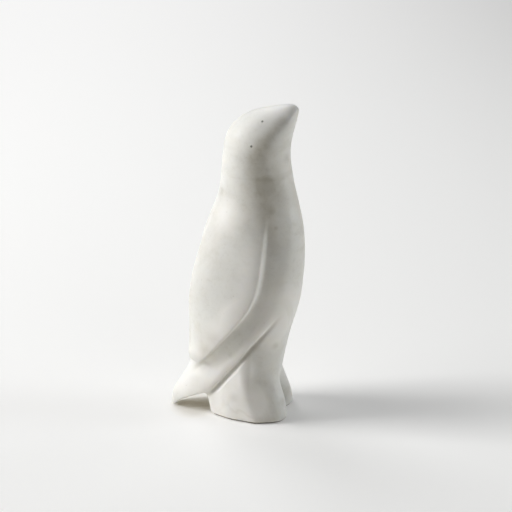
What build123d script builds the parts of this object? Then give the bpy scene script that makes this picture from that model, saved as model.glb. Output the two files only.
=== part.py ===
from build123d import *
import os
from math import cos, pi, radians, sqrt, tan
from typing import NamedTuple

# A penguin carved from one block of white marble, resting on two felt pads.
# Millimetres. +X is the way the bird faces, +Y is its left side, +Z is up from the table.
# X is measured from the upright axis of the block until the finished pieces are centred.


class Level(NamedTuple):
    """A level cut right across the bird: its rise above the cut below, and its reach each way."""

    rise: float
    back: float
    front: float
    half_width: float


class HeadCut(NamedTuple):
    """A slanting cut through the head, from the nape line to the throat line.

    Heights are measured up from the neck. jaw is how far behind the throat the cut is widest.
    """

    nape_x: float
    nape_up: float
    throat_x: float
    throat_up: float
    half_width: float
    jaw: float


class LegCut(NamedTuple):
    """A level cut through one leg: a flat inner side and round corners at heel, ridge and toe.

    heel and toe are its reach along X, inner and outer its reach from the cleft, and ridge is
    where the outer corner stands along X.
    """

    height: float
    heel: float
    toe: float
    ridge: float
    inner: float
    outer: float
    heel_round: float
    ridge_round: float
    toe_round: float


# Felt pads under the soles.
PAD_THICKNESS = 1.0
PAD_INSET = 1.5

# Torso, from the tail tip up. The fronts of the lowest cuts are cleared away under the coat.
TAIL_TIP = Level(rise=0.0, back=48.6, front=30.0, half_width=14.0)
TAIL = Level(rise=8.0, back=47.2, front=32.0, half_width=16.2)
RUMP = Level(rise=11.0, back=41.4, front=34.0, half_width=18.6)
HIP = Level(rise=15.0, back=34.4, front=30.0, half_width=20.8)
FLANK = Level(rise=14.0, back=34.2, front=28.0, half_width=24.6)
BELLY = Level(rise=17.0, back=34.2, front=31.4, half_width=26.0)
MIDRIFF = Level(rise=17.0, back=32.8, front=34.4, half_width=26.2)
CHEST = Level(rise=17.0, back=30.2, front=35.8, half_width=25.6)
BREAST = Level(rise=16.0, back=27.0, front=35.6, half_width=24.0)
SHOULDER = Level(rise=14.0, back=22.2, front=33.6, half_width=21.8)
NECK_BASE = Level(rise=12.0, back=17.8, front=30.8, half_width=20.0)
NECK = Level(rise=14.0, back=15.6, front=28.0, half_width=19.2)
TORSO = [TAIL_TIP, TAIL, RUMP, HIP, FLANK, BELLY, MIDRIFF, CHEST, BREAST, SHOULDER, NECK_BASE, NECK]

# Head and beak, from the neck to the tip.
NAPE = HeadCut(nape_x=-14.8, nape_up=10.0, throat_x=26.8, throat_up=9.0, half_width=19.0, jaw=20.0)
CROWN = HeadCut(nape_x=-13.4, nape_up=19.8, throat_x=26.8, throat_up=15.5, half_width=18.7, jaw=18.0)
BROW = HeadCut(nape_x=-9.6, nape_up=29.0, throat_x=27.6, throat_up=21.8, half_width=17.6, jaw=15.0)
CHEEK = HeadCut(nape_x=-1.0, nape_up=36.5, throat_x=28.8, throat_up=27.2, half_width=15.0, jaw=11.0)
BEAK_ROOT = HeadCut(nape_x=10.4, nape_up=40.7, throat_x=30.0, throat_up=31.8, half_width=11.4, jaw=7.0)
BEAK = HeadCut(nape_x=21.6, nape_up=43.0, throat_x=31.0, throat_up=36.0, half_width=7.0, jaw=4.2)
BEAK_TIP = HeadCut(nape_x=30.6, nape_up=42.0, throat_x=31.8, throat_up=40.4, half_width=1.0, jaw=1.0)
HEAD = [NAPE, CROWN, BROW, CHEEK, BEAK_ROOT, BEAK, BEAK_TIP]

# Lower body under the coat, from between the legs up. It comes level with the coat at the navel
# and sinks into it above.
CROTCH = Level(rise=15.0, back=6.0, front=12.0, half_width=9.0)
LOIN = Level(rise=8.0, back=8.0, front=20.2, half_width=16.5)
THIGH = Level(rise=20.0, back=12.0, front=25.0, half_width=20.8)
LAP = Level(rise=20.0, back=16.0, front=30.2, half_width=23.0)
NAVEL = Level(rise=20.0, back=20.0, front=34.5, half_width=24.0)
WAIST = Level(rise=18.0, back=20.0, front=35.0, half_width=23.4)
LOWER_BODY = [CROTCH, LOIN, THIGH, LAP, NAVEL, WAIST]

# One leg, from the sole up into the lower body.
SOLE = LegCut(
    height=0.0, heel=21.4, toe=27.4, ridge=9.0, inner=1.2, outer=25.3,
    heel_round=7.8, ridge_round=13.0, toe_round=11.0)
INSTEP = LegCut(
    height=8.0, heel=22.0, toe=26.6, ridge=6.0, inner=0.8, outer=24.6,
    heel_round=7.2, ridge_round=9.0, toe_round=10.5)
ANKLE = LegCut(
    height=23.0, heel=20.0, toe=22.2, ridge=3.2, inner=-0.8, outer=23.5,
    heel_round=6.0, ridge_round=6.5, toe_round=9.5)
SHIN = LegCut(
    height=56.0, heel=14.0, toe=19.6, ridge=4.0, inner=-1.0, outer=20.8,
    heel_round=9.0, ridge_round=5.0, toe_round=9.0)
LEG = [SOLE, INSTEP, ANKLE, SHIN]

# Lower edge of the coat: an arch under the tail, then one straight slope up over the thigh.
COAT_SLOPE = 51.5
ARCH_TOP_X = -21.9
ARCH_TOP_HEIGHT = 14.6
TAIL_HOLLOW = 1.6
TAIL_LANDING = 2.5

# Flippers: a raised layer on each side, whose leading edge drops straight and then bends back to the tip.
FLIPPER_RELIEF = 3.4
FLIPPER_SINK = 0.4
FLIPPER_EDGE_X = 15.0
FLIPPER_BEND = 7.0
FLIPPER_TIP_X = -27.4
FLIPPER_SLOPE = 47.6
FLIPPER_BEVEL = 6.0
FLIPPER_ROOT = 4.0
FLIPPER_BACK_GAP = 9.0
FLIPPER = [HIP, FLANK, BELLY, MIDRIFF, CHEST, BREAST, SHOULDER, NECK_BASE]
BOW_SHARES = (0, 0.2, 0.5, 0.8, 1)

# Well past every side of the bird.
CLEARING = 150.0


def heights(levels):
    """Height of each cut above the table, by cut."""
    found = {}
    height = PAD_THICKNESS
    for level in levels:
        height += level.rise
        found[level] = height
    return found


def oval(plane, ahead, behind, left, right):
    """Closed outline of four quarter ellipses that meet on the plane's axes."""
    quarters = [(ahead, left), (behind, left), (behind, right), (ahead, right)]
    sweep = 360 / len(quarters)
    with BuildLine(plane) as line:
        for turn, (along, across) in enumerate(quarters):
            EllipticalCenterArc((0, 0), along, across, start_angle=sweep * turn, arc_size=sweep)
    return line.wires()[0]


def level_outline(level, height):
    middle = (level.front - level.back) / 2
    reach = (level.front + level.back) / 2
    return oval(Plane((middle, 0, height)), reach, reach, level.half_width, level.half_width)


def level_loft(levels):
    return [level_outline(level, height) for level, height in heights(levels).items()]


def head_outline(cut, neck_height):
    nape = Vector(cut.nape_x, 0, neck_height + cut.nape_up)
    throat = Vector(cut.throat_x, 0, neck_height + cut.throat_up)
    along = (throat - nape).normalized()
    depth = (throat - nape).length
    plane = Plane(throat - along * cut.jaw, x_dir=along, z_dir=along.cross(Vector(0, 1, 0)))
    return oval(plane, cut.jaw, depth - cut.jaw, cut.half_width, cut.half_width)


def torso_and_head():
    """The bird from tail tip to beak tip, before the coat's lower edge is cut."""
    neck_height = heights(TORSO)[NECK]
    return Solid.make_loft(level_loft(TORSO) + [head_outline(cut, neck_height) for cut in HEAD])


def below_coat():
    """What is cleared under the tail and in front of the coat's lower edge."""
    landing = (TAIL_LANDING - TAIL_TIP.back, PAD_THICKNESS)
    arch_top = (ARCH_TOP_X, ARCH_TOP_HEIGHT)
    slope_end = (ARCH_TOP_X + CLEARING, ARCH_TOP_HEIGHT + CLEARING * tan(radians(COAT_SLOPE)))
    with BuildPart() as clearing:
        with BuildSketch(Plane.XZ):
            with BuildLine():
                SagittaArc(landing, arch_top, TAIL_HOLLOW)
                Polyline(arch_top, slope_end, (slope_end[0], -CLEARING), (landing[0], -CLEARING), landing)
            make_face()
        extrude(amount=CLEARING, both=True)
    return clearing.part.solid()


def flipper_edge_x(height, tip_height):
    """Leading edge: a soft bend between the upright line and the line that slopes to the tip."""
    sloping = FLIPPER_TIP_X + (height - tip_height) / tan(radians(FLIPPER_SLOPE))
    half_gap = (FLIPPER_EDGE_X - sloping) / 2
    return FLIPPER_EDGE_X - half_gap - sqrt(half_gap**2 + FLIPPER_BEND**2)


def flipper_relief(height, full_height, root_height):
    """Full relief up to the midriff, easing away to slightly below the surface at the neck."""
    share = min(1, (root_height - height) / (root_height - full_height))
    return (FLIPPER_RELIEF + FLIPPER_SINK) * (1 - cos(pi * share)) / 2 - FLIPPER_SINK


def flipper_outline(level, height, edge_x, relief):
    """Slice of the right flipper: a bow raised off the torso, with its root buried in it."""
    axis = Vector((level.front - level.back) / 2, 0, height)
    reach = (level.front + level.back) / 2 + relief
    breadth = level.half_width + relief
    back_x = axis.X - reach * sqrt(1 - (FLIPPER_BACK_GAP / breadth) ** 2)

    def bow_point(share):
        x = back_x + (edge_x - back_x) * share
        return Vector(x, -breadth * sqrt(1 - ((x - axis.X) / reach) ** 2), height)

    bow = [bow_point(share) for share in BOW_SHARES]
    inward_back = (axis - bow[0]).normalized()
    inward_edge = (axis - bow[-1]).normalized()
    forward = inward_edge.cross(Vector(0, 0, 1))
    depth = relief + FLIPPER_ROOT
    root_back = bow[0] + inward_back * depth
    root_edge = bow[-1] + inward_edge * depth + forward * FLIPPER_BEVEL
    return Wire([
        Edge.make_spline(bow),
        Edge.make_line(bow[-1], root_edge),
        Edge.make_line(root_edge, root_back),
        Edge.make_line(root_back, bow[0]),
    ])


def right_flipper():
    height = heights(TORSO)
    outlines = []
    for level in FLIPPER:
        edge_x = flipper_edge_x(height[level], height[HIP])
        relief = flipper_relief(height[level], height[MIDRIFF], height[NECK_BASE])
        outlines.append(flipper_outline(level, height[level], edge_x, relief))
    return Solid.make_loft(outlines)


def lower_body():
    return Solid.make_loft(level_loft(LOWER_BODY))


def side_direction(near, far):
    """Outward direction of the straight side that touches two round corners."""
    (start, start_radius), (end, end_radius) = near, far
    along = end - start
    lean = (start_radius - end_radius) / along.length
    across = Vector(along.Y, -along.X).normalized()
    return along.normalized() * lean + across * sqrt(1 - lean**2)


def round_cornered(corners):
    """Closed outline round corners given anticlockwise, each as its middle and radius."""
    following = corners[1:] + corners[:1]
    leaving = [side_direction(*pair) for pair in zip(corners, following)]
    arriving = leaving[-1:] + leaving[:-1]
    steps = zip(corners, following, arriving, leaving)
    edges = []
    for (middle, radius), (next_middle, next_radius), arrive, leave in steps:
        crest = (arrive + leave).normalized()
        turn = [middle + way * radius for way in (arrive, crest, leave)]
        edges.append(Edge.make_three_point_arc(*turn))
        edges.append(Edge.make_line(turn[-1], next_middle + leave * next_radius))
    return Wire(edges)


def leg_outline(cut, inset=0.0):
    level = PAD_THICKNESS + cut.height
    heel = Vector(cut.heel_round - cut.heel, -cut.inner - cut.heel_round, level)
    ridge = Vector(cut.ridge, cut.ridge_round - cut.outer, level)
    toe = Vector(cut.toe - cut.toe_round, -cut.inner - cut.toe_round, level)
    middles = zip((heel, ridge, toe), (cut.heel_round, cut.ridge_round, cut.toe_round))
    return round_cornered([(middle, radius - inset) for middle, radius in middles])


def right_leg():
    return Solid.make_loft([leg_outline(cut) for cut in LEG])


def right_pad():
    """Felt cut to the outline of the sole, a little smaller, glued flat under it."""
    return Solid.extrude(Face(leg_outline(SOLE, PAD_INSET)), Vector(0, 0, -PAD_THICKNESS))


def both_sides(right):
    return [right, right.mirror(Plane.XZ)]


def stone():
    coat = torso_and_head() - below_coat()
    return coat + [lower_body(), *both_sides(right_leg()), *both_sides(right_flipper())]


def assembly():
    """The pieces by name, moved so that the middle of the footprint stands on the origin."""
    carving = stone()
    centring = Location((-carving.bounding_box().center().X, 0, 0))
    right, left = both_sides(right_pad())
    pieces = {"stone_carving": carving, "right_foot_pad": right, "left_foot_pad": left}
    return {name: piece.moved(centring) for name, piece in pieces.items()}


if __name__ == "__main__":
    os.makedirs("parts", exist_ok=True)
    for name, piece in assembly().items():
        export_step(piece, f"parts/{name}.step")
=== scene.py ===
import math

import bpy
import numpy as np
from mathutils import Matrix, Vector


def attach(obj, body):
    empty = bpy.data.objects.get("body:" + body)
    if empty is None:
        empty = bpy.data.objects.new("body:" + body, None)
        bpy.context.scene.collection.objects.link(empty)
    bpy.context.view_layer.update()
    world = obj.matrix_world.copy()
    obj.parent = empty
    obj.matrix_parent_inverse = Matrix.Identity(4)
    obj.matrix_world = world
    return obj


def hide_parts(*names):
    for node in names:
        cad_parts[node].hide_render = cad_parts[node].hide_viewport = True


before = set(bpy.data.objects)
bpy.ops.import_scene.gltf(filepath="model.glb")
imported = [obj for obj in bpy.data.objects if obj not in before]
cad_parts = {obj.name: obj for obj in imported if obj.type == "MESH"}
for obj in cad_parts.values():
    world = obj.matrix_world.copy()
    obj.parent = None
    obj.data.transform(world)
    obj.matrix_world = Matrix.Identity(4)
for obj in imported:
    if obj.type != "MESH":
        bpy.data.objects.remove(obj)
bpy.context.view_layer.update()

bl_info = {
    "name": "Marble Penguin",
    "version": (1, 0, 0),
    "blender": (4, 5, 0),
    "location": "View3D > Sidebar > Penguin",
    "description": "A penguin carved from one block of white marble, on two felt pads",
    "category": "Object",
}

# Lines that the carver's edges follow, seen from the bird's side, in metres and radians.
FLIPPER_FRONT = 0.02133
FLIPPER_BEND = 0.0070
FLIPPER_TIP = (-0.02107, 0.0350)
FLIPPER_SLOPE = math.radians(47.6)
COAT_CORNER = (-0.01557, 0.0146)
COAT_SLOPE = math.radians(51.5)

# Natural pits in the stone: where each one is, and how wide against the set width.
PITS = [
    ((0.0177, -0.0117, 0.1914), 1.0),
    ((0.0122, -0.0179, 0.1775), 1.1),
    ((0.0049, 0.0175, 0.1800), 0.9),
    ((0.0189, 0.0195, 0.1490), 0.8),
    ((-0.0111, 0.0262, 0.0900), 1.0),
    ((-0.0281, 0.0030, 0.0950), 0.9),
]

# Grey smudges, some in the stone and some painted shade: place, spread and strength of each.
SMUDGES_AND_PAINTED_SHADE = [
    ((0.0296, -0.0107, 0.1917), 0.0050, 0.55),
    ((0.0265, -0.0134, 0.1887), 0.0055, 0.55),
    ((0.0233, -0.0158, 0.1849), 0.0062, 0.60),
    ((0.0205, -0.0173, 0.1808), 0.0072, 0.70),
    ((0.0171, -0.0183, 0.1760), 0.0095, 0.60),
    ((0.0157, -0.0187, 0.1690), 0.0105, 0.50),
    ((0.0162, -0.0187, 0.1620), 0.0105, 0.50),
    ((0.0105, -0.0186, 0.1690), 0.0130, 0.35),
    ((0.0204, -0.0180, 0.1535), 0.0085, 1.20),
    ((0.0215, -0.0180, 0.1520), 0.0190, 0.42),
    ((0.0290, -0.0150, 0.1450), 0.0150, 0.38),
    ((0.0360, -0.0060, 0.1441), 0.0110, 0.25),
    ((0.0225, -0.0195, 0.1290), 0.0150, 0.32),
    ((0.0185, -0.0184, 0.1530), 0.0038, 1.00),
    ((0.0218, -0.0175, 0.1530), 0.0038, 1.00),
    ((0.0114, -0.0190, 0.1560), 0.0110, 0.30),
    ((0.0191, -0.0189, 0.1445), 0.0090, 0.50),
    ((0.0200, -0.0198, 0.1360), 0.0090, 0.60),
    ((0.0229, -0.0195, 0.1270), 0.0085, 0.35),
    ((0.0255, -0.0190, 0.1160), 0.0085, 0.30),
    ((-0.0080, -0.0092, 0.1443), 0.0060, 0.45),
    ((0.0318, -0.0065, 0.1678), 0.0055, 0.50),
    ((0.0275, -0.0186, 0.1270), 0.0022, 0.75),
    ((0.0253, -0.0178, 0.1377), 0.0028, 0.40),
    ((0.0263, -0.0141, 0.0495), 0.0040, 0.55),
    ((0.0160, -0.0197, 0.0497), 0.0040, 0.40),
    ((0.0308, -0.0143, 0.0118), 0.0045, 0.45),
    ((0.0019, -0.0214, 0.0160), 0.0050, 0.30),
    ((-0.0007, -0.0236, 0.0442), 0.0030, 0.45),
    ((0.0305, 0.0055, 0.0111), 0.0120, 0.60),
    ((0.0155, -0.0215, 0.0265), 0.0100, 0.45),
    ((-0.0175, -0.0225, 0.0530), 0.0130, 0.45),
    ((-0.0105, -0.0260, 0.0570), 0.0085, 0.35),
    ((-0.0165, -0.0235, 0.0440), 0.0100, 0.35),
    ((0.0109, 0.0180, 0.1620), 0.0120, 0.60),
    ((-0.0191, 0.0200, 0.1200), 0.0140, 0.45),
    ((-0.0271, -0.0050, 0.0800), 0.0160, 0.40),
    ((0.0059, 0.0230, 0.0300), 0.0080, 0.50),
]

# Palest patches, some in the stone and some painted light: place and spread of each.
PALES_AND_PAINTED_LIGHT = [
    ((-0.0040, -0.0170, 0.0150), 0.0300),
    ((0.0140, -0.0230, 0.0120), 0.0180),
    ((0.0085, -0.0215, 0.0360), 0.0100),
    ((-0.0090, -0.0155, 0.0060), 0.0120),
    ((-0.0274, -0.0117, 0.0175), 0.0220),
    ((-0.0060, -0.0190, 0.0300), 0.0180),
    ((-0.0025, -0.0205, 0.1325), 0.0150),
    ((0.0050, -0.0265, 0.0720), 0.0140),
    ((0.0045, -0.0215, 0.0180), 0.0220),
    ((0.0310, -0.0150, 0.0740), 0.0260),
    ((0.0270, -0.0170, 0.0580), 0.0180),
    ((0.0240, 0.0010, 0.1950), 0.0180),
    ((0.0060, 0.0200, 0.0800), 0.0400),
]

# Colours the marks lean to: pale white for pale patches and painted light, painted shade for hollows, grooves
# and pits, a painted edge highlight, and a painted shadow under the tail.
PALE_WHITE = (0.97, 0.968, 0.95, 1.0)
PAINTED_HOLLOW_SHADE = (0.52, 0.48, 0.41, 1.0)
PAINTED_GROOVE_SHADE = (0.42, 0.40, 0.36, 1.0)
PAINTED_EDGE_HIGHLIGHT = (0.90, 0.895, 0.88, 1.0)
PAINTED_PIT_SHADE = (0.10, 0.095, 0.085, 1.0)
PAINTED_TAIL_SHADOW = (0.045, 0.03, 0.0, 1.0)

SPECK_SCALE = 330.0
PAD_GRAIN = 0.00024
FLOOR_WIDTH = 14.0
LAMP_DISTANCE = 1.4
LAMP_TARGET = Vector((0, 0, 0.09))
CAMERA_TARGET = Vector((0.00633, 0, 0.100))

# Soft lights: name, turn and rise in degrees, width, level and colour.
LAMPS = [
    ("window", 180, 25, 0.45, 0.53, (1.0, 1.0, 0.99)),
    ("softbox", 180, 55, 0.45, 0.32, (1.0, 0.99, 0.97)),
    ("front card", 161, 10, 0.45, 0.15, (1.0, 0.99, 0.97)),
    ("right card", 0, 11, 0.45, 0.335, (0.97, 1.0, 1.0)),
    ("right back", 330, 30, 0.45, 0.065, (1.0, 0.99, 0.95)),
    ("back card", 240, 48, 0.60, 0.225, (1.0, 1.0, 1.0)),
    ("room", 60, 20, 0.60, 0.048, (1.0, 0.98, 0.94)),
]


class StoneSettings(bpy.types.PropertyGroup):
    """Sizes and finish of the marble."""

    grain: bpy.props.FloatProperty(
        name="Grain", description="Spacing of the carved surface's points",
        default=0.00074, min=0.0003, subtype="DISTANCE", unit="LENGTH")
    hand_softening: bpy.props.IntProperty(
        name="Hand softening", description="Rubbing passes over the whole surface", default=5, min=0)
    lip_softening: bpy.props.IntProperty(
        name="Lip softening", description="Rubbing passes along the coat's lower edge", default=60, min=0)
    join_softening: bpy.props.IntProperty(
        name="Join softening", description="Rubbing passes where legs meet the belly", default=160, min=0)
    foot_softening: bpy.props.IntProperty(
        name="Foot softening", description="Rubbing passes over the feet", default=60, min=0)
    valley_depth: bpy.props.FloatProperty(
        name="Valley depth", description="Depth of the hollow beside the flippers' leading edges",
        default=0.0018, subtype="DISTANCE", unit="LENGTH")
    flare: bpy.props.FloatProperty(
        name="Flare", description="How far the flippers' fronts stand out over the flat behind them",
        default=0.0013, subtype="DISTANCE", unit="LENGTH")
    foot_swell: bpy.props.FloatProperty(
        name="Foot swell", description="How far the outer sides of the feet curve out",
        default=0.0015, subtype="DISTANCE", unit="LENGTH")
    thigh_fill: bpy.props.FloatProperty(
        name="Thigh fill", description="How far the backs of the thighs come out to meet the coat",
        default=0.0042, subtype="DISTANCE", unit="LENGTH")
    rim_lift: bpy.props.FloatProperty(
        name="Rim lift", description="How far the coat's rim stands out", default=0.0008,
        subtype="DISTANCE", unit="LENGTH")
    crease_depth: bpy.props.FloatProperty(
        name="Crease depth", description="Depth of the groove under the coat's rim",
        default=0.0011, subtype="DISTANCE", unit="LENGTH")
    waviness: bpy.props.FloatProperty(
        name="Waviness", description="Height of the slow waves that hand rubbing leaves",
        default=0.00035, subtype="DISTANCE", unit="LENGTH")
    pit_width: bpy.props.FloatProperty(
        name="Pit width", description="Half width of a natural pit",
        default=0.00075, subtype="DISTANCE", unit="LENGTH")
    pit_depth: bpy.props.FloatProperty(
        name="Pit depth", description="Depth of a natural pit",
        default=0.0006, subtype="DISTANCE", unit="LENGTH")
    white: bpy.props.FloatVectorProperty(
        name="White", description="Main colour of the marble",
        default=(0.808, 0.814, 0.794), min=0, max=1, subtype="COLOR")
    warm: bpy.props.FloatVectorProperty(
        name="Warm", description="Colour of the cream clouds",
        default=(0.772, 0.742, 0.682), min=0, max=1, subtype="COLOR")
    # Grey also colours the smudges that are painted shade.
    grey: bpy.props.FloatVectorProperty(
        name="Grey", description="Colour of veins and smudges",
        default=(0.430, 0.408, 0.340), min=0, max=1, subtype="COLOR")
    roughness: bpy.props.FloatProperty(
        name="Roughness", description="Roughness of the honed surface",
        default=0.46, min=0, max=1, subtype="FACTOR")


class FeltSettings(bpy.types.PropertyGroup):
    """Finish of the felt pads."""

    nap: bpy.props.FloatProperty(
        name="Nap", description="Height of the felt's tangled fibres",
        default=0.00012, subtype="DISTANCE", unit="LENGTH")
    colour: bpy.props.FloatVectorProperty(
        name="Colour", description="Main colour of the felt",
        default=(0.33, 0.31, 0.28), min=0, max=1, subtype="COLOR")


class StageSettings(bpy.types.PropertyGroup):
    """Floor, light and camera."""

    floor: bpy.props.FloatVectorProperty(
        name="Floor", description="Colour of the floor",
        default=(0.87, 0.87, 0.87), min=0, max=1, subtype="COLOR")
    floor_bounce: bpy.props.FloatVectorProperty(
        name="Floor bounce", description="Colour of the light that the floor throws back",
        default=(0.84, 0.80, 0.735), min=0, max=1, subtype="COLOR")
    camera_turn: bpy.props.FloatProperty(
        name="Camera turn", description="Camera's turn round the bird", default=math.radians(10),
        subtype="ANGLE", unit="ROTATION")
    camera_rise: bpy.props.FloatProperty(
        name="Camera rise", description="Camera's angle above the floor", default=math.radians(20),
        subtype="ANGLE", unit="ROTATION")
    camera_distance: bpy.props.FloatProperty(
        name="Camera distance", description="Camera's distance from the bird's middle", default=1.4,
        subtype="DISTANCE", unit="LENGTH")


class Tone:
    """A shader socket that plain Python sums can be done with."""

    def __init__(self, tree, socket=None):
        self.tree = tree
        self.socket = socket

    def node(self, kind, settings=(), inputs=(), output=0):
        """Adds a node: its settings come first, then the values or links of its sockets."""
        made = self.tree.nodes.new(kind)
        for name, value in dict(settings).items():
            setattr(made, name, value)
        for name, value in dict(inputs).items():
            if isinstance(value, Tone):
                self.tree.links.new(value.socket, made.inputs[name])
            else:
                made.inputs[name].default_value = value
        return Tone(self.tree, made.outputs[output] if made.outputs else None)

    def sum(self, operation, first, second=0.0, clamp=False):
        settings = {"operation": operation, "use_clamp": clamp}
        return self.node("ShaderNodeMath", settings, {0: first, 1: second})

    def __add__(self, other):
        return self.sum("ADD", self, other)

    def __sub__(self, other):
        return self.sum("SUBTRACT", self, other)

    def __mul__(self, other):
        return self.sum("MULTIPLY", self, other)

    def __abs__(self):
        return self.sum("ABSOLUTE", self)

    def __rsub__(self, other):
        return self.sum("SUBTRACT", other, self)

    __radd__ = __add__
    __rmul__ = __mul__

    def clamped(self):
        return self.sum("ADD", self, 0.0, clamp=True)

    def ease(self, low, high):
        """0 at low, 1 at high, with soft ends."""
        inputs = {"Value": self, "From Min": low, "From Max": high}
        return self.node("ShaderNodeMapRange", {"interpolation_type": "SMOOTHSTEP"}, inputs)

    def mix(self, first, second):
        """Blends two colours, with this as the share of the second."""
        inputs = {"Factor": self, 6: first, 7: second}
        return self.node("ShaderNodeMix", {"data_type": "RGBA", "clamp_factor": True}, inputs, 2)

    def noise(self, scale, detail=2.0, roughness=0.5, distortion=0.0):
        inputs = {"Vector": self, "Scale": scale, "Detail": detail}
        inputs.update({"Roughness": roughness, "Distortion": distortion})
        return self.node("ShaderNodeTexNoise", {}, inputs)

    def placed(self, offset=(0, 0, 0), turn=(0, 0, 0), scale=(1, 1, 1)):
        inputs = {"Vector": self, "Location": offset, "Rotation": turn, "Scale": scale}
        return self.node("ShaderNodeMapping", {"vector_type": "POINT"}, inputs)

    def along(self, way):
        return self.node("ShaderNodeVectorMath", {"operation": "DOT_PRODUCT"}, {0: self, 1: way}, 1)

    def distance_to(self, spot):
        return self.node("ShaderNodeVectorMath", {"operation": "DISTANCE"}, {0: self, 1: spot}, 1)


def new_material(name):
    """An empty material and the tone that its nodes start from."""
    material = bpy.data.materials.new(name)
    material.use_nodes = True
    material.node_tree.nodes.clear()
    return material, Tone(material.node_tree)


def opaque(colour):
    return (*colour, 1.0)


def surface(start, **sockets):
    """Ends a material with one shader whose sockets are given by name."""
    inputs = {name.replace("_", " "): value for name, value in sockets.items()}
    shader = start.node("ShaderNodeBsdfPrincipled", {}, inputs)
    start.node("ShaderNodeOutputMaterial", {}, {"Surface": shader})


def marble_material(settings):
    """Honed white marble: cream clouds, grey veins, beds on the neck, specks, smudges and pale patches that
    are partly painted shade and light, painted shade in hollows, grooves and pits, and painted edge
    highlights.
    """
    material, start = new_material("honed_marble")
    place = start.node("ShaderNodeTexCoord", {}, {}, 3)
    height = start.node("ShaderNodeSeparateXYZ", {}, {"Vector": place}, 2)
    cream = place.noise(17.0, 4.0, 0.55, 0.4).ease(0.42, 0.72)
    cloud = place.placed(offset=(0.3, 0.1, 0.2)).noise(30.0, 6.0, 0.6, 0.5).ease(0.50, 0.80)
    beds = place.placed(turn=(0.05, 0.09, 0.0), scale=(14, 14, 105)).noise(1.0, 3.0, 0.6, 0.2)
    beds = beds.ease(0.46, 0.72)
    neck = height.ease(0.138, 0.150) * height.ease(0.184, 0.172)
    folds = place.placed(offset=(0.7, 0.4, 0.0), turn=(0.4, 0.5, 0.2)).noise(11.0, 5.0, 0.55, 0.9)
    ridge = 1 - abs(folds - 0.5) * 2
    vein = ridge.ease(0.955, 1.0) * place.noise(9.0, 2.0).ease(0.42, 0.66)
    patchy = place.noise(120.0, 5.0, 0.65)
    # Smudges: some in the stone, some painted shade along the cheek, neck, chest and legs.
    smudge_and_painted_shade = 0.0
    for spot, spread, strength in SMUDGES_AND_PAINTED_SHADE:
        smudge_and_painted_shade = place.distance_to(spot).ease(spread, 0.0) * strength + smudge_and_painted_shade
    smudge_and_painted_shade = (smudge_and_painted_shade * (patchy * 1.3 + 0.35)).clamped()
    # Pale patches: some in the stone, some painted light on the legs and tail.
    pale = 0.0
    for spot, spread in PALES_AND_PAINTED_LIGHT:
        pale = place.distance_to(spot).ease(spread, spread * 0.2) + pale
    pit = 0.0
    for spot, width in PITS:
        reach = width * settings.pit_width
        pit = place.distance_to(spot).ease(reach * 1.15, reach * 0.45) + pit
    cells = {"Vector": place, "Scale": SPECK_SCALE}
    speck_cell = place.node("ShaderNodeTexVoronoi", {"feature": "F1"}, cells)
    speck_kind = place.node("ShaderNodeTexVoronoi", {"feature": "F1"}, cells, 1)
    speck_pick = place.node("ShaderNodeSeparateColor", {}, {"Color": speck_kind})
    speck = speck_cell.ease(0.22, 0.06) * speck_pick.ease(0.93, 0.97)
    arris = place.node("ShaderNodeAttribute", {"attribute_name": "arris"}, {}, 2)
    hollow = place.node("ShaderNodeAttribute", {"attribute_name": "hollow"}, {}, 2)
    groove_shade = place.node("ShaderNodeAttribute", {"attribute_name": "groove_shade"}, {}, 2)
    painted_light = place.node("ShaderNodeAttribute", {"attribute_name": "painted_light"}, {}, 2)

    grain = place.noise(420.0, 3.0, 0.6)
    mottle = patchy.ease(0.46, 0.74) * 0.13 + grain.ease(0.50, 0.72) * 0.09
    colour = (cream * 0.55).mix(opaque(settings.white), opaque(settings.warm))
    # Pale patches and painted light on the flippers' fronts and the coat's rim lift the colour towards pale
    # white.
    pale = (pale + painted_light).clamped()
    colour = (pale * 0.9).mix(colour, PALE_WHITE)
    grey_share = cloud * 0.14 + beds * (neck * 0.16 + 0.03) + vein * 0.14 + smudge_and_painted_shade * 0.58 + speck * 0.22
    grey_share = grey_share + mottle * (1 - pale * 0.85)
    colour = grey_share.clamped().mix(colour, opaque(settings.grey))
    # Painted shade in hollows.
    colour = (hollow * 0.18).mix(colour, PAINTED_HOLLOW_SHADE)
    # Painted shade in the grooves.
    colour = (groove_shade * (patchy * 0.5 + 0.25)).mix(colour, PAINTED_GROOVE_SHADE)
    # Painted highlight on edges that stand out.
    colour = (arris * 0.22).mix(colour, PAINTED_EDGE_HIGHLIGHT)
    # Painted shade in the pits.
    colour = (pit.clamped() * 0.85).mix(colour, PAINTED_PIT_SHADE)

    rough = settings.roughness + (patchy - 0.5) * 0.16 + hollow * 0.12 - arris * 0.10
    fine = place.noise(850.0, 3.0, 0.6) * 0.6 + place.noise(2600.0, 2.0) * 0.4
    bump = place.node("ShaderNodeBump", {}, {"Strength": 0.10, "Distance": 0.00012, "Height": fine})
    surface(start, Base_Color=colour, Roughness=rough.clamped(), Normal=bump, IOR=1.5, Subsurface_Weight=0.22,
            Subsurface_Radius=(1.0, 0.85, 0.62), Subsurface_Scale=0.0014)
    return material


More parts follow.
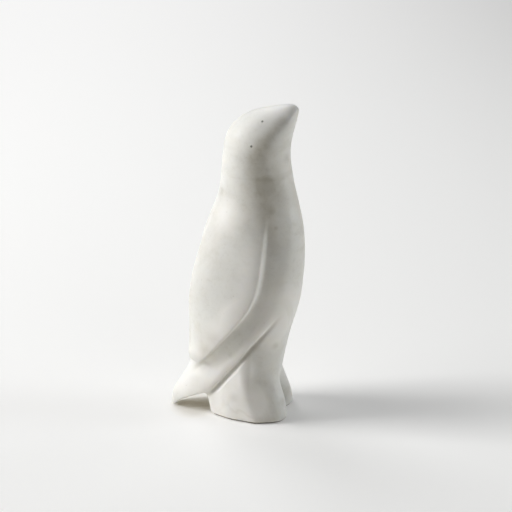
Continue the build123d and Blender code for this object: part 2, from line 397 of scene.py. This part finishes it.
def felt_material(settings):
    """Pressed wool felt: tangled fibres of several greys."""
    material, start = new_material("pressed_felt")
    place = start.node("ShaderNodeTexCoord", {}, {}, 3)
    fibres = place.placed(turn=(0.0, 0.0, 0.6), scale=(1, 3, 2)).noise(1400.0, 4.0, 0.7, 1.5)
    across = place.placed(turn=(0.0, 0.0, -0.9), scale=(1, 3, 2)).noise(1700.0, 4.0, 0.7, 1.5)
    tangle = fibres * 0.5 + across * 0.5
    patches = place.noise(180.0, 3.0)
    dark = opaque(tuple(0.55 * part for part in settings.colour))
    pale = opaque(tuple(min(1.0, 1.35 * part) for part in settings.colour))
    colour = (tangle.ease(0.35, 0.65) * 0.8 + patches * 0.2).clamped().mix(dark, pale)
    bump = place.node("ShaderNodeBump", {}, {"Strength": 0.6, "Distance": 0.0002, "Height": tangle})
    surface(start, Base_Color=colour, Roughness=(0.9 + patches * 0.1).clamped(), Normal=bump,
            Sheen_Weight=0.35, Sheen_Roughness=0.5)
    return material


def floor_material(settings):
    """Pale floor with a glow of its own in the picture, which is painted light that varies over the floor,
    with a painted shadow under the tail, and which throws warmer light back on the stone.
    """
    material, start = new_material("pale_floor")
    place = start.node("ShaderNodeTexCoord", {}, {}, 3)
    across = place.along((math.cos(settings.camera_turn), math.sin(settings.camera_turn), 0))
    away = place.along((-math.sin(settings.camera_turn), math.cos(settings.camera_turn), 0))
    # The glow is painted light: it rises and falls over the floor near the bird and is even farther off.
    glow = 0.176 + across * 0.18 + away * 0.05
    glow = glow + away * away * 0.196 - across * away * 0.487 - across * across * 0.715
    seen = start.node("ShaderNodeLightPath", {}, {}, 0)
    shiny = start.node("ShaderNodeLightPath", {}, {}, 3)
    clear = start.node("ShaderNodeLightPath", {}, {}, 6)
    direct = (seen + shiny + clear).clamped()
    shown = start.node("ShaderNodeBsdfDiffuse", {}, {"Color": opaque(settings.floor)})
    # Painted shadow on the floor under the tail, where the glow gives way to a dark warm colour.
    under = place.placed(scale=(1.0, 0.7, 1.0)).distance_to((-0.0265, 0.0, 0.0)).ease(0.0200, 0.0085)
    far = place.distance_to((0.0, 0.0, 0.0)).ease(1.2, 1.9)
    glow = under.mix(far * 0.78 + glow.clamped() * (1 - far), PAINTED_TAIL_SHADOW)
    lift = start.node("ShaderNodeEmission", {}, {"Color": glow, "Strength": 1.0})
    shown = start.node("ShaderNodeAddShader", {}, {0: shown, 1: lift})
    bounced = start.node("ShaderNodeBsdfDiffuse", {}, {"Color": opaque(settings.floor_bounce)})
    mixed = start.node("ShaderNodeMixShader", {}, {0: direct, 1: bounced, 2: shown})
    start.node("ShaderNodeOutputMaterial", {}, {"Surface": mixed})
    return material


def pick(piece):
    """Makes a piece the only one selected."""
    bpy.ops.object.select_all(action="DESELECT")
    piece.select_set(True)
    bpy.context.view_layer.objects.active = piece


def apply_modifier(piece, kind, **settings):
    """Adds one modifier with these settings and applies it."""
    pick(piece)
    modifier = piece.modifiers.new(kind.lower(), kind)
    for name, value in settings.items():
        setattr(modifier, name, value)
    bpy.ops.object.modifier_apply(modifier=modifier.name)


def node_copy(node, name):
    """A new piece with a solid's shape, its loose triangles merged."""
    piece = bpy.data.objects.new(name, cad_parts[node].data.copy())
    piece.data.materials.clear()
    bpy.context.scene.collection.objects.link(piece)
    pick(piece)
    bpy.ops.object.mode_set(mode="EDIT")
    bpy.ops.mesh.select_all(action="SELECT")
    bpy.ops.mesh.remove_doubles(threshold=1e-6)
    bpy.ops.object.mode_set(mode="OBJECT")
    return piece


def points_of(piece):
    """A piece's points, one row each."""
    places = np.empty(len(piece.data.vertices) * 3)
    piece.data.vertices.foreach_get("co", places)
    return places.reshape(-1, 3)


def normals_of(piece):
    """The outward direction at each of a piece's points."""
    ways = np.empty(len(piece.data.vertices) * 3)
    piece.data.vertices.foreach_get("normal", ways)
    return ways.reshape(-1, 3)


def weigh(piece, name, weights):
    """Gives a piece a vertex group, with one weight for each point."""
    group = piece.vertex_groups.new(name=name)
    for index in np.nonzero(weights > 0.002)[0]:
        group.add([int(index)], float(weights[index]), "REPLACE")
    return name


def ease(low, high, values):
    """0 at low, 1 at high, with soft ends."""
    share = np.clip((values - low) / (high - low), 0, 1)
    return share * share * (3 - 2 * share)


def flipper_front(heights):
    """Where the flippers' leading edges run along X at each height."""
    sloping = FLIPPER_TIP[0] + (heights - FLIPPER_TIP[1]) / math.tan(FLIPPER_SLOPE)
    half_gap = (FLIPPER_FRONT - sloping) / 2
    return FLIPPER_FRONT - half_gap - np.sqrt(half_gap**2 + FLIPPER_BEND**2)


def ahead_of_flipper(places):
    """How far each point is in front of or below a flipper's leading edge, square to it."""
    x, z = places[:, 0], places[:, 2]
    lean = (flipper_front(z + 0.0005) - flipper_front(z - 0.0005)) / 0.001
    return (x - flipper_front(z)) / np.sqrt(1 + lean**2)


def above_coat_edge(places):
    """How far each point is above the coat's lower edge, square to it."""
    rise = (places[:, 0] - COAT_CORNER[0]) * math.tan(COAT_SLOPE)
    return (places[:, 2] - COAT_CORNER[1] - rise) * math.cos(COAT_SLOPE)


def press(stone, name, weights, depth):
    """Pushes the points that have a weight into the stone, or out of it for a negative depth."""
    group = weigh(stone, name, weights)
    apply_modifier(stone, "DISPLACE", strength=-depth, mid_level=0.0, vertex_group=group)


def fill_thighs(stone, settings):
    """Brings the backs of the thighs out to the coat's rim, and lifts the rim a little."""
    places, ways = points_of(stone), normals_of(stone)
    above, height = above_coat_edge(places), places[:, 2]
    outward = ease(0.05, 0.45, ways[:, 1] * np.sign(places[:, 1])) * ease(0.002, 0.007, np.abs(places[:, 1]))
    rim_height = COAT_CORNER[1] + (places[:, 0] - COAT_CORNER[0]) * math.tan(COAT_SLOPE)
    thigh = np.clip((height - 0.003) / np.maximum(rim_height - 0.003, 0.010), 0, 1)
    thigh *= ease(0.0002, -0.0010, above) * ease(0.0110, -0.0060, places[:, 0]) * outward
    press(stone, "thigh", thigh, -settings.thigh_fill)
    rim = ease(0.0000, 0.0010, above) * ease(0.0100, 0.0012, above)
    rim *= ease(0.0160, 0.0240, height) * ease(0.0760, 0.0600, height) * outward
    press(stone, "rim", rim, -settings.rim_lift)


def shape_flippers(stone, settings):
    """Flattens the flippers behind their fronts and hollows the stone ahead of them."""
    places = points_of(stone)
    ahead = ahead_of_flipper(places)
    height = places[:, 2]
    sides = ease(0.006, 0.012, np.abs(places[:, 1]))
    flat = ease(-0.0400, -0.0210, ahead) * ease(0.0000, -0.0210, ahead)
    flat *= ease(0.134, 0.104, height) * ease(0.034, 0.050, height) * sides
    press(stone, "flat", flat, settings.flare)
    valley = ease(0.0004, 0.0030, ahead) * ease(0.0165, 0.0046, ahead)
    valley *= ease(0.0010, 0.0060, above_coat_edge(places))
    valley *= ease(0.140, 0.114, height) * ease(0.024, 0.036, height) * sides
    press(stone, "valleys", valley, settings.valley_depth)


def carve_crease(stone, depth):
    """Cuts the groove that runs under the coat's rim, out to its upper end on the belly."""
    places = points_of(stone)
    above = above_coat_edge(places)
    height = places[:, 2]
    crease = ease(-0.0040, -0.0014, above) * ease(0.0004, -0.0010, above)
    crease *= ease(0.0720, 0.0520, height) * ease(0.0120, 0.0200, height)
    crease *= ease(0.010, 0.015, np.abs(places[:, 1]))
    press(stone, "crease", crease, depth)


def round_feet(piece, swell):
    """Swells the outer side of each foot between heel and ridge, so that its outline is one curve."""
    for side, name in ((1, "left_foot"), (-1, "right_foot")):
        places = points_of(piece)
        outer = ease(0.006, 0.020, side * places[:, 1]) * ease(0.034, 0.010, places[:, 2])
        length = ease(-0.0130, -0.0030, places[:, 0]) * ease(0.0110, 0.0000, places[:, 0])
        group = weigh(piece, name, outer * length)
        apply_modifier(piece, "DISPLACE", direction="Y", strength=side * swell, mid_level=0.0,
                       vertex_group=group)


def rub(stone, name, weights, passes):
    """Rubs down the points that have a weight."""
    group = weigh(stone, name, weights)
    apply_modifier(stone, "SMOOTH", factor=0.5, iterations=passes, vertex_group=group)


def soften(stone, settings):
    """Rubs the whole surface a little, and the coat's lip, the joins of the legs and the feet more."""
    places = points_of(stone)
    height = places[:, 2]
    kept = ease(0.0030, 0.0010, np.abs(ahead_of_flipper(places) - 0.0004)) * ease(0.028, 0.034, height)
    kept = np.maximum(kept, ease(0.1860, 0.1940, height) * ease(0.026, 0.034, places[:, 0]))
    kept = np.maximum(kept, ease(0.0035, 0.0015, height))
    rub(stone, "whole", 1 - 0.88 * kept, settings.hand_softening)

    places = points_of(stone)
    height = places[:, 2]
    above = above_coat_edge(places)
    lip = ease(-0.0006, 0.0010, above) * ease(0.0066, 0.0030, above) * ease(0.010, 0.016, height)
    rub(stone, "lip", lip, settings.lip_softening)

    places = points_of(stone)
    height = places[:, 2]
    under = ease(0.0000, -0.0025, above_coat_edge(places))
    join = under * ease(0.0125, 0.0165, places[:, 0])
    join *= ease(0.012, 0.020, height) * ease(0.066, 0.052, height)
    rub(stone, "joins", join, settings.join_softening)
    ridge = under * ease(0.0260, 0.0100, height) * ease(0.0012, 0.0045, height)
    rub(stone, "feet", ridge, settings.foot_softening)


def wave(stone, height):
    """Leaves the slow, uneven waves of hand rubbing."""
    clouds = bpy.data.textures.new("rubbing", "CLOUDS")
    clouds.noise_scale = 0.016
    clouds.noise_depth = 1
    tips = ease(0.199, 0.185, points_of(stone)[:, 2]) * ease(0.001, 0.010, points_of(stone)[:, 2])
    group = weigh(stone, "waves", tips)
    apply_modifier(stone, "DISPLACE", texture=clouds, texture_coords="LOCAL", strength=height, mid_level=0.75,
                   vertex_group=group)


def sink_pits(stone, settings):
    """Sinks the stone's natural pits, with finer faces round each one."""
    pick(stone)
    places = points_of(stone)
    near = np.zeros(len(places), bool)
    for spot, width in PITS:
        near |= np.linalg.norm(places - spot, axis=1) < width * settings.pit_width * 2.2
    bpy.ops.object.mode_set(mode="EDIT")
    bpy.ops.mesh.select_mode(type="VERT")
    bpy.ops.mesh.select_all(action="DESELECT")
    bpy.ops.object.mode_set(mode="OBJECT")
    stone.data.vertices.foreach_set("select", near)
    bpy.ops.object.mode_set(mode="EDIT")
    bpy.ops.mesh.select_mode(type="FACE")
    bpy.ops.mesh.subdivide(number_cuts=3)
    bpy.ops.object.mode_set(mode="OBJECT")
    places = points_of(stone)
    weights = np.zeros(len(places))
    for spot, width in PITS:
        reach = width * settings.pit_width
        away = np.linalg.norm(places - spot, axis=1)
        weights = np.maximum(weights, ease(reach, reach * 0.25, away))
    press(stone, "pits", weights, settings.pit_depth)


def mark_edges(stone):
    """Keeps, for the stone's finish, how much each point stands out or sinks in, which take a painted
    highlight or painted shade, where grooves take painted shade, and where the flippers' fronts and the
    coat's rim take painted light.
    """
    places, ways = points_of(stone), normals_of(stone)
    ends = np.empty(len(stone.data.edges) * 2, int)
    stone.data.edges.foreach_get("vertices", ends)
    first, second = ends.reshape(-1, 2).T
    count = np.bincount(first, minlength=len(places)) + np.bincount(second, minlength=len(places))
    count = np.maximum(count, 1)

    def neighbours(values):
        total = np.bincount(first, values[second], len(places))
        total += np.bincount(second, values[first], len(places))
        return total / count

    middle = np.stack([neighbours(places[:, axis]) for axis in range(3)], axis=1)
    bend = np.einsum("ij,ij->i", places - middle, ways)
    for _ in range(3):
        bend = 0.5 * bend + 0.5 * neighbours(bend)
    above, height = above_coat_edge(places), places[:, 2]
    # Painted shade in the groove under the coat's rim and beside the flippers' leading edges.
    groove_shade = ease(-0.0032, -0.0018, above) * ease(0.0000, -0.0012, above) * ease(0.0720, 0.0560, height)
    groove_shade *= ease(0.0100, 0.0180, height) * ease(0.010, 0.015, np.abs(places[:, 1]))
    ahead = ahead_of_flipper(places)
    beside = ease(0.0016, 0.0030, ahead) * ease(0.0090, 0.0040, ahead)
    beside *= ease(0.132, 0.120, height) * ease(0.052, 0.070, height)
    groove_shade = np.maximum(groove_shade, 0.42 * beside * ease(0.008, 0.013, np.abs(places[:, 1])))
    # Painted light on the flippers' fronts and on the coat's rim.
    front = ease(-0.0170, -0.0050, ahead) * ease(0.0012, -0.0002, ahead)
    front *= ease(0.128, 0.104, height) * ease(0.036, 0.044, height)
    rim = ease(0.0002, 0.0016, above) * ease(0.0070, 0.0020, above) * ease(0.0780, 0.0620, height)
    painted_light = np.maximum(front, rim * ease(0.0160, 0.0260, height)) * ease(0.008, 0.013, np.abs(places[:, 1]))
    for name, values in (("groove_shade", groove_shade), ("painted_light", painted_light)):
        attribute = stone.data.attributes.new(name, "FLOAT", "POINT")
        attribute.data.foreach_set("value", values.astype(np.float32))
    # Arris marks edges that take a painted highlight, hollow marks hollows that take painted shade.
    for name, sign in (("arris", 1.0), ("hollow", -1.0)):
        values = ease(0.000015, 0.000080, sign * bend)
        for _ in range(2):
            values = 0.5 * values + 0.5 * neighbours(values)
        attribute = stone.data.attributes.new(name, "FLOAT", "POINT")
        attribute.data.foreach_set("value", values.astype(np.float32))


class PENGUIN_OT_carve_stone(bpy.types.Operator):
    """Carve the whole bird from the marble block"""

    bl_idname = "penguin.carve_stone"
    bl_label = "Carve Stone"

    def execute(self, context):
        settings = context.scene.penguin_stone
        stone = node_copy("stone_carving", "marble_penguin")
        apply_modifier(stone, "REMESH", mode="VOXEL", voxel_size=settings.grain, adaptivity=0.0)
        fill_thighs(stone, settings)
        round_feet(stone, settings.foot_swell)
        stone.vertex_groups.clear()
        apply_modifier(stone, "REMESH", mode="VOXEL", voxel_size=settings.grain, adaptivity=0.0)
        if not len(stone.data.polygons):
            raise RuntimeError("the marble has no faces after the remesh")
        soften(stone, settings)
        shape_flippers(stone, settings)
        carve_crease(stone, settings.crease_depth)
        wave(stone, settings.waviness)
        sink_pits(stone, settings)
        stone.vertex_groups.clear()
        mark_edges(stone)
        pick(stone)
        bpy.ops.object.shade_smooth()
        stone.data.materials.append(marble_material(settings))
        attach(stone, "root")
        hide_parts("stone_carving")
        return {"FINISHED"}


class PENGUIN_OT_cut_pads(bpy.types.Operator):
    """Cut the felt pads that the feet rest on"""

    bl_idname = "penguin.cut_pads"
    bl_label = "Cut Felt Pads"

    def execute(self, context):
        settings = context.scene.penguin_felt
        material = felt_material(settings)
        nap = bpy.data.textures.new("nap", "CLOUDS")
        nap.noise_scale = 0.0006
        nap.noise_depth = 2
        for side in ("right", "left"):
            pad = node_copy(f"{side}_foot_pad", f"{side}_felt_pad")
            apply_modifier(pad, "REMESH", mode="VOXEL", voxel_size=PAD_GRAIN, adaptivity=0.0)
            round_feet(pad, context.scene.penguin_stone.foot_swell)
            apply_modifier(pad, "SMOOTH", factor=0.5, iterations=2)
            apply_modifier(pad, "DISPLACE", texture=nap, texture_coords="LOCAL", strength=settings.nap,
                           mid_level=1.0)
            pick(pad)
            bpy.ops.object.shade_smooth()
            pad.data.materials.append(material)
            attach(pad, "root")
            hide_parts(f"{side}_foot_pad")
        return {"FINISHED"}


def aim(thing, target):
    """Turns a lamp or camera to look at a point."""
    thing.rotation_mode = "QUATERNION"
    thing.rotation_quaternion = (target - thing.location).to_track_quat("-Z", "Y")


def add_lamp(name, turn, rise, size, level, colour):
    """A soft light. Turn is from the picture's right to the camera; level 1 shows a colour as written."""
    base = bpy.context.scene.penguin_stage.camera_turn
    right = Vector((math.cos(base), math.sin(base), 0))
    near = Vector((math.sin(base), -math.cos(base), 0))
    turn, rise = math.radians(turn), math.radians(rise)
    way = (right * math.cos(turn) + near * math.sin(turn)) * math.cos(rise) + Vector((0, 0, math.sin(rise)))
    bpy.ops.object.light_add(type="AREA", location=LAMP_TARGET + way * LAMP_DISTANCE)
    lamp = bpy.context.object
    lamp.name = name
    lamp.data.shape = "SQUARE"
    lamp.data.size = size
    lamp.data.energy = level * (math.pi * LAMP_DISTANCE) ** 2
    lamp.data.color = colour
    lamp.visible_camera = False
    aim(lamp, LAMP_TARGET)


class PENGUIN_OT_set_stage(bpy.types.Operator):
    """Set the floor, the soft lights and the camera"""

    bl_idname = "penguin.set_stage"
    bl_label = "Set Stage"

    def execute(self, context):
        settings = context.scene.penguin_stage
        bpy.ops.object.select_all(action="DESELECT")
        bpy.ops.mesh.primitive_plane_add(size=FLOOR_WIDTH, location=(0, 0, 0))
        floor = context.object
        floor.name = "floor"
        floor.data.materials.append(floor_material(settings))

        for lamp in LAMPS:
            add_lamp(*lamp)

        world = bpy.data.worlds.new("studio")
        world.use_nodes = True
        world.node_tree.nodes.clear()
        start = Tone(world.node_tree)
        seen = start.node("ShaderNodeLightPath", {}, {}, 0)
        shiny = start.node("ShaderNodeLightPath", {}, {}, 3)
        clear = start.node("ShaderNodeLightPath", {}, {}, 6)
        direct = (seen + shiny * 0.4 + clear).clamped()
        light = direct.mix((0.0, 0.0, 0.0, 1), (0.84, 0.84, 0.84, 1))
        sky = start.node("ShaderNodeBackground", {}, {"Color": light, "Strength": 1.0})
        start.node("ShaderNodeOutputWorld", {}, {"Surface": sky})
        context.scene.world = world

        turn, rise = settings.camera_turn, settings.camera_rise
        back = Vector((math.sin(turn) * math.cos(rise), -math.cos(turn) * math.cos(rise), math.sin(rise)))
        bpy.ops.object.camera_add(location=CAMERA_TARGET + back * settings.camera_distance)
        camera = context.object
        camera.name = "camera"
        camera.data.lens = 160.3
        camera.data.sensor_width = 36.0
        camera.data.shift_x = 0.0176
        camera.data.shift_y = 0.0042
        aim(camera, CAMERA_TARGET)
        context.scene.camera = camera
        context.scene.view_settings.view_transform = "Standard"
        return {"FINISHED"}


class PENGUIN_PT_panel(bpy.types.Panel):
    """The penguin's steps and settings"""

    bl_idname = "PENGUIN_PT_panel"
    bl_label = "Marble Penguin"
    bl_space_type = "VIEW_3D"
    bl_region_type = "UI"
    bl_category = "Penguin"

    def draw(self, context):
        groups = (
            (context.scene.penguin_stone, StoneSettings, "penguin.carve_stone"),
            (context.scene.penguin_felt, FeltSettings, "penguin.cut_pads"),
            (context.scene.penguin_stage, StageSettings, "penguin.set_stage"),
        )
        for settings, group, step in groups:
            box = self.layout.box()
            for name in group.__annotations__:
                box.prop(settings, name)
            box.operator(step)


CLASSES = (
    StoneSettings,
    FeltSettings,
    StageSettings,
    PENGUIN_OT_carve_stone,
    PENGUIN_OT_cut_pads,
    PENGUIN_OT_set_stage,
    PENGUIN_PT_panel,
)


def register():
    for each in CLASSES:
        bpy.utils.register_class(each)
    bpy.types.Scene.penguin_stone = bpy.props.PointerProperty(type=StoneSettings)
    bpy.types.Scene.penguin_felt = bpy.props.PointerProperty(type=FeltSettings)
    bpy.types.Scene.penguin_stage = bpy.props.PointerProperty(type=StageSettings)


def unregister():
    del bpy.types.Scene.penguin_stage
    del bpy.types.Scene.penguin_felt
    del bpy.types.Scene.penguin_stone
    for each in reversed(CLASSES):
        bpy.utils.unregister_class(each)


def main():
    register()
    bpy.ops.penguin.carve_stone()
    bpy.ops.penguin.cut_pads()
    bpy.ops.penguin.set_stage()


if __name__ == "__main__":
    main()
